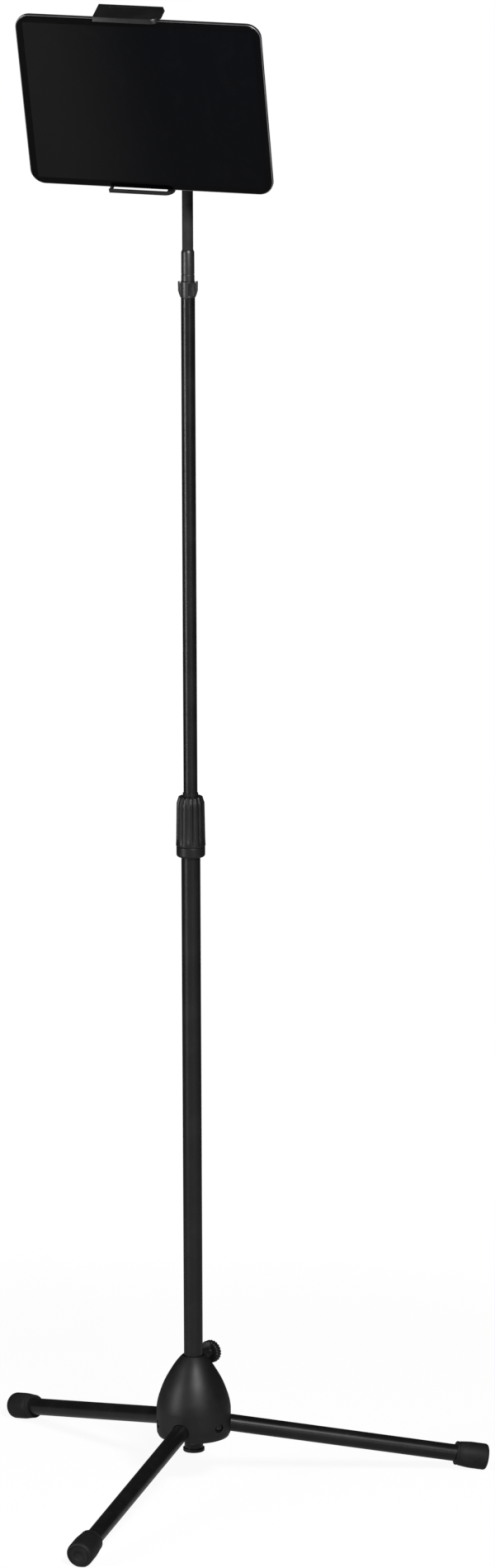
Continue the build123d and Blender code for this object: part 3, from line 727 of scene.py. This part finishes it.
def sleeve_tree():
    """A round sleeve along a curve whose corners are rounded, with a fine ripple from the coil inside."""
    sizes = {"Radius": "Float", "Bend": "Float", "Pitch": "Float", "Ripple": "Float", "Sides": "Int"}
    tree, graph, entry = geometry_tree("sleeve", sizes)
    corners = {"Curve": entry["Geometry"], "Radius": entry["Bend"], "Count": 28}
    rounded = graph.add("GeometryNodeFilletCurve", {"mode": "POLY"}, corners)
    spacing = {"Curve": rounded, "Length": entry["Pitch"] / 4.0}
    even = graph.add("GeometryNodeResampleCurve", {"mode": "LENGTH"}, spacing)
    length = graph.add("GeometryNodeSplineParameter", out="Length")
    wave = (length / entry["Pitch"] * (2 * pi)).cosine() * entry["Ripple"]
    close_bar(graph, even, (entry["Sides"], entry["Radius"]), 1.0 - wave, entry["Material"])
    return tree


def coil_tree():
    """A wire spring standing on the origin along Z."""
    sizes = {"Coil Radius": "Float", "Wire Radius": "Float", "Length": "Float", "Turns": "Float"}
    tree, graph, entry = geometry_tree("coil", sizes)
    radii = {"Start Radius": entry["Coil Radius"], "End Radius": entry["Coil Radius"]}
    run = {"Resolution": 24, "Rotations": entry["Turns"], "Height": entry["Length"]}
    path = graph.add("GeometryNodeCurveSpiral", {}, {**radii, **run})
    close_bar(graph, path, (8, entry["Wire Radius"]), 1.0, entry["Material"])
    return tree


TREES = {}


def tree_for(maker):
    """A geometry tree, built the first time it is asked for."""
    if maker.__name__ not in TREES:
        TREES[maker.__name__] = maker()
    return TREES[maker.__name__]


# ---- what a user may change -----------------------------------------------------------------------
def colour_property(name, words, value):
    return FloatVectorProperty(name=name, description=words, default=value, subtype="COLOR", min=0, max=1)


def share_property(name, words, value):
    return FloatProperty(name=name, description=words, default=value, min=0)


def length_property(name, words, value):
    return FloatProperty(name=name, description=words, default=value, unit="LENGTH", precision=5)


def count_property(name, words, value):
    return IntProperty(name=name, description=words, default=value, min=3)


class StandLooks(PropertyGroup):
    """Colours of the stand's finishes and of the studio."""

    paint: colour_property("Paint", "Enamel on the tubes", (0.005, 0.005, 0.0054))
    plastic: colour_property("Plastic", "Moulded hub, clutch and clamp", (0.006, 0.006, 0.0064))
    sleeve: colour_property("Sleeve", "Sleeve on the flexible neck", (0.012, 0.0118, 0.0118))
    rubber: colour_property("Rubber", "Feet", (0.007, 0.007, 0.007))
    aluminium: colour_property("Aluminium", "Tablet housing", (0.30, 0.30, 0.31))
    # Painted reflection: the display is coloured greyer at its left (first colour), fading to darker at
    # its right (second), standing in for a reflection on the glass.
    display_left: colour_property("Display, left", "Left edge of the display", (0.0058, 0.0058, 0.0058))
    display_right: colour_property("Display, right", "Display past its middle", (0.0008, 0.0010, 0.0018))
    floor_colour: colour_property("Floor", "Studio sheet", (0.08, 0.08, 0.08))
    floor_glow: share_property("Floor glow", "Light the sheet gives by itself", 1.0)
    floor_bounce: share_property("Floor bounce", "Share of the glow that lights the stand", 0.5)


class StandSizes(PropertyGroup):
    """Sizes of details that aren't in the CAD model."""

    clutch_ribs: count_property("Clutch ribs", "Grip ribs round the twist clutch", 14)
    rib_depth: length_property("Rib depth", "Depth of the grooves between the ribs", 0.0015)
    knob_flutes: count_property("Knob flutes", "Grooves round the clamp knob", 22)
    ring_flutes: count_property("Ring nut flutes", "Grooves round the ball's ring nut", 34)
    neck_pitch: length_property("Neck pitch", "Turn spacing of the coil in the neck", 0.0024)
    neck_bend: length_property("Neck bend", "Radius of the neck's two bends", 0.0365)
    neck_ripple: share_property("Neck ripple", "Ripple depth over the neck's radius", 0.006)
    spring_turns: count_property("Spring turns", "Turns of each jaw spring", 15)


# ---- operators -------------------------------------------------------------------------------------
class STAND_OT_studio(Operator):
    """Makes the camera, the pale floor and the soft lights"""

    bl_idname = "music_stand.studio"
    bl_label = "Studio"

    def execute(self, context):
        looks = context.scene.stand_looks
        context.scene.view_settings.view_transform = "Standard"
        self.aim_camera(context)
        self.lay_floor(looks)
        self.hang_light("key", (1.0, -3.1, 3.0), (0.0, 0.0, 0.3), 0.9, 0.8, 170)
        self.hang_light("side", (-3.0, -1.75, 1.35), (0.0, 0.0, 1.2), 0.6, 2.2, 75)
        self.hang_light("fill", (2.2, -4.7, 1.1), (0.0, 0.0, 1.0), 0.4, 1.8, 12)
        self.fill_room(context)
        return {"FINISHED"}

    def aim_camera(self, context):
        lens = bpy.data.cameras.new("camera")
        lens.sensor_fit = "VERTICAL"
        lens.sensor_height = 24.0
        lens.lens = 107.4
        lens.dof.use_dof = False
        lens.clip_end = 60.0
        camera = new_object("camera", lens)
        camera.location = (0.0655, -7.89, 2.432)
        turn = Matrix.Rotation(radians(90 - 11.45), 4, "X") @ Matrix.Rotation(radians(-0.2), 4, "Z")
        camera.rotation_euler = turn.to_euler()
        context.scene.camera = camera

    def lay_floor(self, looks):
        floor = turned("floor", [(0, -0.4), (26000, -0.4), (26000, -10), (0, -10)], turns=96)
        floor.data.materials.append(floor_finish("studio_sheet", looks))

    def hang_light(self, name, place, target, wide, high, power):
        lamp = bpy.data.lights.new(name, "AREA")
        lamp.shape = "RECTANGLE"
        lamp.size = wide
        lamp.size_y = high
        lamp.energy = power
        light = new_object(name, lamp)
        light.location = place
        light.rotation_euler = (Vector(target) - Vector(place)).to_track_quat("-Z", "Y").to_euler()

    def fill_room(self, context):
        world = bpy.data.worlds.new("room")
        world.use_nodes = True
        graph = Graph(world.node_tree)
        seen = graph.add("ShaderNodeLightPath", out="Is Camera Ray")
        room = graph.mix(seen, (0.035, 0.035, 0.036), (1.0, 1.0, 1.0))
        graph.feed(world.node_tree.nodes["Background"].inputs["Color"], room)
        context.scene.world = world


class STAND_OT_carried(Operator):
    """Gives every CAD part that stays as it is its detailed finish"""

    bl_idname = "music_stand.carried"
    bl_label = "Carried parts"

    def execute(self, context):
        worn_by = {
            "black_paint": ["lower_tube", "upper_tube", *(f"leg_tube_{leg}" for leg in LEGS)],
            "hub_plastic": ["hub_shell", "tube_end_cap", *(f"leg_hinge_{leg}" for leg in LEGS)],
            "clutch_plastic": ["clutch_ring", "clutch_sleeve", "clutch_collet"],
            "clamp_plastic": ["clamp_shell", "clamp_cover", "ball_seat"],
            "bush_plastic": ["guide_bush", "hub_liner"],
            "pad_rubber": ["back_pads", "upper_jaw_pad", "lower_jaw_pads", "clamp_pad"],
            "brass": ["clamp_insert"],
            "bright_steel": ["guide_rods", "clamp_screw", "tube_stud", "ball_stud"],
            "black_steel": ["grub_screw"],
            "display_panel": ["tablet_display"],
            "battery_pack": ["tablet_internals"],
        }
        for material, nodes in worn_by.items():
            for node in nodes:
                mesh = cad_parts[node].data
                mesh.materials.clear()
                mesh.materials.append(finish(material))
        return {"FINISHED"}


class STAND_OT_clutch(Operator):
    """Makes the ribbed grip of the twist clutch"""

    bl_idname = "music_stand.clutch"
    bl_label = "Twist clutch grip"

    def execute(self, context):
        sizes = context.scene.stand_sizes
        foot, shoulder, top = 761.8, 812.0, 820.0
        flank = [(17.1 - 0.8 * k / 12, foot + 2 + (shoulder - foot - 2) * k / 12) for k in range(13)]
        chamfer = [(16.3 - 2.4 * k / 4, shoulder + 7.6 * k / 4) for k in range(1, 5)]
        bore = [(13.0, top), (9.2, top), (9.2, top - 3), (12.9, 811.2), (12.9, 803.0), (13.55, 801.0)]
        profile = [(13.55, foot), (16.5, foot), (17.1, foot + 0.8), *flank, *chamfer, *bore]
        groove, run, wall = (sizes.rib_depth, 2.6), (0.7665, 0.8400, 0.0030), (0.01295, 0.0142)
        ribs = sizes.clutch_ribs
        grip = fluted("clutch_grip_ribbed", profile, ribs, 14, groove, run, wall, "clutch_plastic")
        smoothed(grip, radians(50))
        stood(grip, "clutch_grip", "clutch_plastic", "black_plastic", "clutch_grip")
        return {"FINISHED"}


class STAND_OT_knob(Operator):
    """Makes the fluted thumb knob of the hub clamp"""

    bl_idname = "music_stand.knob"
    bl_label = "Clamp knob"

    def execute(self, context):
        sizes = context.scene.stand_sizes
        back, front = 30.0, 38.5
        flank = [(13.4, back + 1.2 + (front - back - 2.4) * k / 6) for k in range(7)]
        stem = [(0, back + 4), (3.02, back + 4), (3.02, back - 3), (5.7, back - 3), (6.0, back - 2.7)]
        dish = [(12.3, front), (10.2, front), (9.4, front - 0.8), (4.2, front - 1.1), (3.6, front - 0.6)]
        profile = [*stem, (6.0, back), (12.2, back), *flank, *dish, (0, front - 0.5)]
        run = (back * MM - 0.004, front * MM + 0.004, 0.001)
        groove, wall, flutes = (0.0009, 2.2), (0.0108, 0.0124), sizes.knob_flutes
        knob = fluted("clamp_knob_fluted", profile, flutes, 10, groove, run, wall, "clutch_plastic")
        knob.data.transform(radial_axis(CLAMP_AZIMUTH, CLAMP_Z))
        smoothed(knob, radians(50))
        stood(knob, "clamp_knob", "clutch_plastic", "black_plastic", "clamp_knob")
        return {"FINISHED"}


class STAND_OT_feet(Operator):
    """Makes the rubber foot of each leg, worn flat where it stands"""

    bl_idname = "music_stand.feet"
    bl_label = "Feet"

    def execute(self, context):
        bore = [(0, 324.0), (10.0, 324.0), (10.0, 291.0), (13.3, 291.0), (13.9, 291.5)]
        neck = [(14.05, 293.6), (13.75, 294.2), (13.75, 295.0), (14.2, 295.6)]
        body = [(14.9, 302.0), (15.45, 308.0), (15.5, 313.0), (15.5, 325.5), (15.25, 326.9)]
        nose = [(14.5, 328.1), (13.4, 328.8), (12.8, 329.0), (12.5, 329.0), (12.2, 328.3), (11.1, 328.3)]
        dimple = [(10.8, 329.0), (6.2, 329.0), (5.5, 328.1), (3.0, 327.5), (0, 327.3)]
        profile = [*bore, *neck, *body, *nose, *dimple]
        for name, azimuth in LEGS.items():
            foot = turned(f"foot_{name}_rubber", profile, leg_axis(azimuth), 96)
            for vertex in foot.data.vertices:
                vertex.co.z = max(vertex.co.z, 0.0)
            smoothed(foot, radians(38))
            stood(foot, f"leg_{name}", "foot_rubber", "foot_rubber", f"foot_{name}")
        return {"FINISHED"}


class STAND_OT_pivots(Operator):
    """Makes the three leg pivots: socket-headed screws and their nuts"""

    bl_idname = "music_stand.pivots"
    bl_label = "Leg pivots"

    def execute(self, context):
        pin = Vector((PIVOT_RHO, 0, PIVOT_Z)) * MM
        across = turned_to(Vector((0, 0, 1)), Vector((1, 0, 0)), Vector((0, 1, 0)), pin)
        socket = [(0, -27.6), (2.0, -27.6, 6), (2.0, -29.0, 6), (2.5, -29.2)]
        head = [(3.6, -29.1), (4.3, -28.6), (4.6, -27.8), (4.6, -26.2), (4.5, -26.0), (3.0, -26.0)]
        shank = [(3.0, 20.4), (2.4, 21.1), (0, 21.1)]
        screw = turned("pivot_screws_made", [*socket, *head, *shank], across, 48)
        hexagon = [(4.9, 14.6, 6), (5.0, 15.0, 6), (5.0, 19.2, 6), (4.8, 19.6, 6)]
        nut_rows = [(3.02, 14.6), *hexagon, (3.02, 19.6)]
        nut = turned("pivot_nuts_made", nut_rows, across, 48)
        first = radians(LEGS["front"])
        for piece, node in ((screw, "pivot_screws"), (nut, "pivot_nuts")):
            repeated = {"count": 3, "first_angle": first, "material": finish("black_steel")}
            smoothed(grown(piece, tree_for(circle_tree), **repeated))
            stood(piece, "hub", "black_steel", "black_steel", node)
        return {"FINISHED"}


class STAND_OT_wing_nut(Operator):
    """Makes the winged lock nut at the foot of the neck"""

    bl_idname = "music_stand.wing_nut"
    bl_label = "Wing nut"

    def execute(self, context):
        low, high, reach = 1395.8, 1414.3, 8.35
        wall = [(7.95, low), (reach, low + 0.4), (reach, high - 0.4), (7.95, high)]
        rows = [(5.05, low), *wall, (5.05, high)]
        nut = turned("wing_nut_cast", rows, turns=96)
        recess = rounded_rectangle(8.0, 15.0, 1.2, 0.0, 4)
        window = prism("window", recess, reach - 1.4, 12.0, radial_axis(-60, (low + high) / 2 + 0.3))
        pin = [(0, 3), (1.5, 3), (1.5, 14), (0, 14)]
        pin_hole = turned("pin_hole", pin, radial_axis(-60, high - 5.6), 24)
        carved(nut, [window, pin_hole])
        softened(nut, 0.25, 2)
        upright = turned_to(Vector((1, 0, 0)), Vector((0, 0, 1)), Vector((0, -1, 0)), Vector((0, 0, 0)))
        ears = []
        for hand in (1, -1):
            root = [(reach - 1.6, low + 0.6), (reach + 0.4, low + 0.6), (reach + 1.6, low + 3.8)]
            tip = [(reach + 2.9, low + 8), (reach + 3.1, high), (reach + 0.6, high)]
            outline = [(hand * x, z) for x, z in (*root, *tip, (reach - 1.6, low + 7))]
            ears.append(softened(prism("ear", outline, -1.9, 1.9, upright), 0.55, 3))
        joined(nut, ears)
        stood(nut, "wing_nut", "black_steel", "black_plastic", "wing_nut")
        return {"FINISHED"}


class STAND_OT_neck(Operator):
    """Makes the flexible neck and the ferrules at its two ends"""

    bl_idname = "music_stand.neck"
    bl_label = "Neck"

    def execute(self, context):
        sizes = context.scene.stand_sizes
        bottom, knee = Vector((0, 0, 1434)) * MM, Vector((0, 0, 1632)) * MM
        corners = [bottom, knee, in_head(GRIP, 0, -98), in_head(GRIP, 0, -52)]
        line = bpy.data.curves.new("neck_line", "CURVE")
        line.dimensions = "3D"
        spline = line.splines.new("POLY")
        spline.points.add(len(corners) - 1)
        for point, corner in zip(spline.points, corners):
            point.co = (*corner, 1.0)
        path = new_object("neck_line", line)
        neck = self.sleeve(path, sizes)
        neck.data.materials.clear()
        neck.data.materials.append(finish("soft_sleeve"))
        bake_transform(neck)
        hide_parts("neck_lower", "neck_upper")
        self.ferrules()
        return {"FINISHED"}

    def sleeve(self, path, sizes):
        values = {
            "radius": 0.0063,
            "bend": sizes.neck_bend,
            "pitch": sizes.neck_pitch,
            "ripple": sizes.neck_ripple,
            "sides": 32,
            "material": finish("soft_sleeve"),
        }
        mesh = tree_mesh(path, tree_for(sleeve_tree), values)
        bpy.data.objects.remove(path)
        return smoothed(new_object("neck_sleeve", mesh), radians(60))

    def ferrules(self):
        low, high = 1414.6, 1447.8
        foot = [(5.05, low), (7.25, low), (7.6, low + 0.5), (7.57, low + 7)]
        groove = [(7.3, low + 7.4), (7.3, low + 8.0), (7.55, low + 8.4)]
        crown = [(7.46, high - 0.5), (7.3, high + 0.1), (6.45, high + 2.4), (6.32, high + 2.6)]
        rows = [*foot, *groove, *crown, (6.3, 1434.0), (5.05, 1434.0)]
        base = smoothed(turned("neck_base_collar", rows, turns=80), radians(25))
        stood(base, "neck_base", "black_steel", "black_plastic", "neck_base_ferrule")
        back = [(6.32, -62.0), (7.1, -62.0), (7.5, -61.5), (7.5, -55.0), (7.2, -54.6), (7.2, -54.0)]
        front = [(7.5, -53.6), (7.5, -45.6), (6.9, -44.0), (4.02, -44.0), (4.02, -52.0), (6.32, -52.0)]
        end = smoothed(turned("neck_end_collar", [*back, *front], BALL_AXIS, 80), radians(25))
        stood(end, "neck_top", "black_steel", "black_plastic", "neck_end_ferrule")


class STAND_OT_ring_nut(Operator):
    """Makes the fluted ring nut that locks the ball"""

    bl_idname = "music_stand.ring_nut"
    bl_label = "Ring nut"

    def execute(self, context):
        sizes = context.scene.stand_sizes
        back, front, reach = -36.5, -20.5, 17.6
        flank = [(reach, back + 1.2 + (front - back - 2.4) * k / 8) for k in range(9)]
        mouth = [(16.5, front), (14.56, front), (14.56, back + 2), (9.5, back + 2)]
        rows = [(9.5, back), (15.0, back), (16.6, back + 0.25), *flank, *mouth]
        run = ((back + 0.4) * MM, (front - 1.6) * MM, 0.0012)
        groove, wall, flutes = (0.0008, 1.6), (0.0158, 0.0168), sizes.ring_flutes
        nut = fluted("ring_nut_fluted", rows, flutes, 8, groove, run, wall, "clamp_plastic")
        nut.data.transform(BALL_AXIS)
        smoothed(nut, radians(50))
        stood(nut, "ring_nut", "clamp_plastic", "black_plastic", "ring_nut")
        return {"FINISHED"}


class STAND_OT_clamp(Operator):
    """Makes the clamp's cover screws and its two coil springs"""

    bl_idname = "music_stand.clamp"
    bl_label = "Clamp screws and springs"

    def execute(self, context):
        sizes = context.scene.stand_sizes
        socket = [(0, -5.9), (0.75, -5.9, 6), (0.75, -4.9, 6)]
        rows = [*socket, (1.35, -4.72), (1.48, -4.9), (1.48, -6.5), (0, -6.5)]
        screws = turned("cover_screws_made", rows, turns=36)
        spread = {"wide": 0.052, "high": 0.110, "columns": 2, "rows": 2}
        screws = grown(screws, tree_for(grid_tree), **spread, material=finish("bright_steel"))
        screws.data.transform(BALL_AXIS)
        smoothed(screws)
        stood(screws, "clamp", "bright_steel", "bright_steel", "cover_screws")

        low, high, wire = -14.0, 59.5, 0.5
        coils = []
        for offset in ROD_OFFSETS:
            seed = turned("jaw_coil", [(0, 0), (1, 0), (1, 1), (0, 1)], turns=8)
            coil = grown(
                seed,
                tree_for(coil_tree),
                coil_radius=0.00305,
                wire_radius=wire * MM,
                length=(high - low - 2 * wire - 0.2) * MM,
                turns=float(sizes.spring_turns),
                material=finish("bright_steel"),
            )
            coil.data.transform(rod_axis(GRIP + offset, low + wire + 0.1, ROD_OUT))
            coils.append(coil)
        springs = joined(coils[0], coils[1:])
        springs.name = "jaw_springs_coiled"
        stood(springs, "clamp", "bright_steel", "bright_steel", "jaw_springs")
        top = tuple(in_head(GRIP, high, ROD_OUT))
        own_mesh(springs)
        return {"FINISHED"}


class STAND_OT_jaws(Operator):
    """Makes the sprung upper jaw and the fixed lower jaw, each with its flared lip and strap"""

    bl_idname = "music_stand.jaws"
    bl_label = "Jaws"
    outside, plate, lip_end, flare, rim, corner = 111.9, 2.9, 106.7, 1.75, 2.4, 10.0
    back, front = -22.3, 7.6

    def execute(self, context):
        upper = self.hook("upper_jaw_moulded", 1)
        recess = block("recess", (JAW_LEFT + 12.7, 110.7, -18.7), (JAW_LEFT + 54.7, 114, -14.2), FACE)
        carved(upper, [recess])
        softened(upper, 0.5, 3)
        strap = softened(block("strap", (GRIP - 10, -30, -15.2), (GRIP + 10, 110.5, -12.2), FACE), 0.6, 2)
        slider = block("slider", (GRIP - 26, -30, -15.2), (GRIP + 26, -14, -7.1), FACE)
        rod = [(0, -40), (2.05, -40), (2.05, 0), (0, 0)]
        rods = [turned("rod", rod, rod_axis(GRIP + x, 0, ROD_OUT), 32) for x in ROD_OFFSETS]
        carved(slider, rods)
        joined(upper, [strap, softened(slider, 0.4, 2)])
        stood(upper, "upper_jaw", "jaw_plastic", "black_plastic", "upper_jaw")

        lower = self.hook("lower_jaw_moulded", -1)
        window = block("window", (JAW_LEFT + 2.4, -114, -5.5), (JAW_LEFT + 66, -108, 5.6), FACE)
        carved(lower, [window])
        softened(lower, 0.5, 3)
        strap = softened(block("strap", (GRIP - 16, -110.5, -15.2), (GRIP + 16, -40, -12.2), FACE), 0.6, 2)
        joined(lower, [strap])
        stood(lower, "clamp", "jaw_plastic", "black_plastic", "lower_jaw")
        return {"FINISHED"}

    def plan(self, side, height, grow, rim=0.0):
        """Points round a jaw in the tablet's directions, with a large round at its right front."""
        left = JAW_LEFT - (1 if rim else 0)
        back = self.back - (1 if rim else 0)
        right, front, bend = JAW_RIGHT + grow - rim, self.front + grow - rim, self.corner - rim
        turns = [pi / 2 * k / 14 for k in range(15)]
        arc = [(right - bend + bend * cos(turn), front - bend + bend * sin(turn)) for turn in turns]
        return [(w, side * height, n) for w, n in [(left, back), (right, back), *arc, (left, front)]]

    def hook(self, name, side):
        outer = [self.plan(side, self.outside, 0), self.plan(side, self.lip_end, self.flare)]
        under = self.plan(side, self.outside - self.plate, 0.9, self.rim)
        mouth = self.plan(side, self.lip_end - 1, self.flare + 0.3, self.rim)
        shell = stacked(name, outer, FACE)
        hollow = stacked("hollow", [under, mouth], FACE)
        low, high = sorted((side * (self.lip_end - 2), side * (TABLET_H / 2 + 0.4)))
        passage = block("passage", (JAW_RIGHT - 6, low, -3.6), (JAW_RIGHT + 5, high, 4.2), FACE)
        return carved(shell, [hollow, passage])


class STAND_OT_tablet(Operator):
    """Makes the tablet's housing and its cover glass"""

    bl_idname = "music_stand.tablet"
    bl_label = "Tablet"

    def execute(self, context):
        back, rim = -3.2, 2.3
        curve = [(2.3, back), (1.35, -3.05), (0.65, -2.65), (0.2, -2.05), (0.0, -1.3), (0.0, 0.0)]
        edge = [(0.0, 1.75), (0.14, 2.08), (0.45, rim), (1.0, rim)]
        seat = [(1.0, rim - 0.6), (2.4, rim - 0.6), (2.4, back + 1)]
        wall = [self.ring(inset, out) for inset, out in (*curve, *edge, *seat)]
        case = stacked("tablet_housing", wall, FACE)
        smoothed(case, radians(28))
        stood(case, "tablet", "tablet_aluminium", "tablet_aluminium", "tablet_case")
        face = 3.2
        slab = [(1.15, rim - 0.5), (1.1, 2.9), (1.25, 3.08), (1.6, face)]
        glass = stacked("tablet_cover_glass", [self.ring(inset, out) for inset, out in slab], FACE)
        smoothed(glass, radians(40))
        stood(glass, "tablet", "screen_glass", "screen_glass", "tablet_glass")
        return {"FINISHED"}

    def ring(self, inset, out):
        points = rounded_rectangle(TABLET_W, TABLET_H, TABLET_CORNER, inset, 14)
        return [(x, y, out) for x, y in points]


class STAND_PT_pieces(Panel):
    """Lists the stand's pieces and what can be changed on them"""

    bl_idname = "STAND_PT_pieces"
    bl_label = "Music stand"
    bl_space_type = "VIEW_3D"
    bl_region_type = "UI"
    bl_category = "Music stand"

    def draw(self, context):
        for settings in (context.scene.stand_looks, context.scene.stand_sizes):
            box = self.layout.box()
            for key in settings.__annotations__:
                box.prop(settings, key)
        for maker in MAKERS:
            self.layout.operator(maker.bl_idname)


MAKERS = (
    STAND_OT_studio,
    STAND_OT_carried,
    STAND_OT_clutch,
    STAND_OT_knob,
    STAND_OT_feet,
    STAND_OT_pivots,
    STAND_OT_wing_nut,
    STAND_OT_neck,
    STAND_OT_ring_nut,
    STAND_OT_clamp,
    STAND_OT_jaws,
    STAND_OT_tablet,
)
CLASSES = (StandLooks, StandSizes, *MAKERS, STAND_PT_pieces)


def register():
    for item in CLASSES:
        bpy.utils.register_class(item)
    bpy.types.Scene.stand_looks = PointerProperty(type=StandLooks)
    bpy.types.Scene.stand_sizes = PointerProperty(type=StandSizes)


def unregister():
    del bpy.types.Scene.stand_sizes
    del bpy.types.Scene.stand_looks
    for item in reversed(CLASSES):
        bpy.utils.unregister_class(item)


def main():
    """Makes every piece in order."""
    register()
    for maker in MAKERS:
        group, action = maker.bl_idname.split(".")
        getattr(getattr(bpy.ops, group), action)()


if __name__ == "__main__":
    main()
